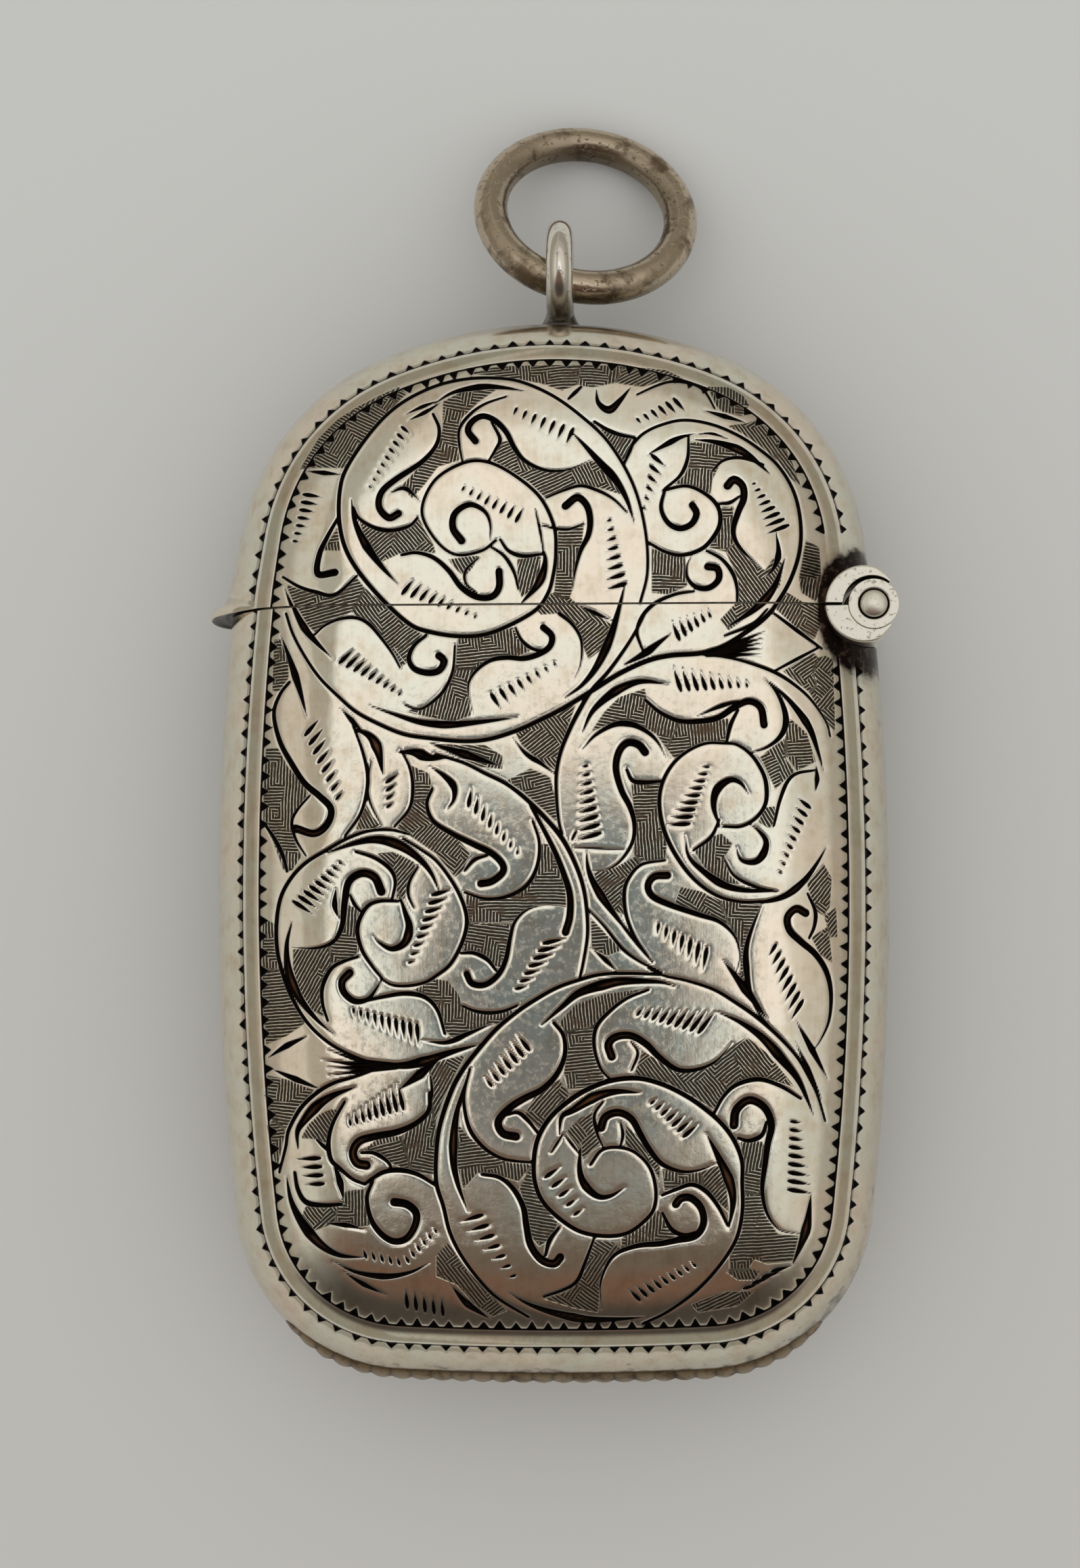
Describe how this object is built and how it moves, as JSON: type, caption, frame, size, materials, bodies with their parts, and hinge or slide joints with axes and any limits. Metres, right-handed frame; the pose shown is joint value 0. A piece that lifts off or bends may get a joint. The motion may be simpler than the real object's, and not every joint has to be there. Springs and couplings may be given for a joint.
{
  "type": "vesta case",
  "caption": "Pocket match case of engraved silver: a hollow pillow-shaped body with a side-hinged lid, a serrated striker on the base, and a loop and ring for a watch chain.",
  "frame": {"origin": "on the flat back face, on the case's centre line at its widest line", "axes": "+X towards the hinge, +Y towards the loop and ring, +Z out of the engraved front face"},
  "size_m": [0.0328, 0.062, 0.0106],
  "materials": {
    "engraved_silver": "bright-cut engraving on polished, lightly worn silver",
    "plain_silver": "polished silver",
    "worn_silver": "worn silver with darkened corners",
    "tarnished_silver": "dull, pitted and tarnished silver"
  },
  "bodies": {
    "case": {"body_shell": "engraved_silver", "base_striker": "worn_silver", "inner_rim": "plain_silver", "body_hinge_leaf": "worn_silver", "front_knuckle": "worn_silver", "rear_knuckle": "worn_silver", "hinge_pin": "worn_silver"},
    "lid": {"lid_shell": "engraved_silver", "lid_hinge_leaf": "worn_silver", "lid_knuckle": "worn_silver", "thumb_lip": "engraved_silver", "suspension_loop": "plain_silver"},
    "ring": {"ring": "tarnished_silver"}
  },
  "joints": [
    {"name": "lid_hinge", "type": "hinge", "parent": "case", "child": "lid", "pos_m": [0.01507, 0.0125, 0.0053], "axis": [0, 0, -1], "range_deg": [0, 100]},
    {"name": "ring_swing", "type": "hinge", "parent": "lid", "child": "ring", "pos_m": [0.00042, 0.02912, 0.0053], "axis": [0.9563, -0.2924, 0], "range_deg": [-82, 138]}
  ]
}
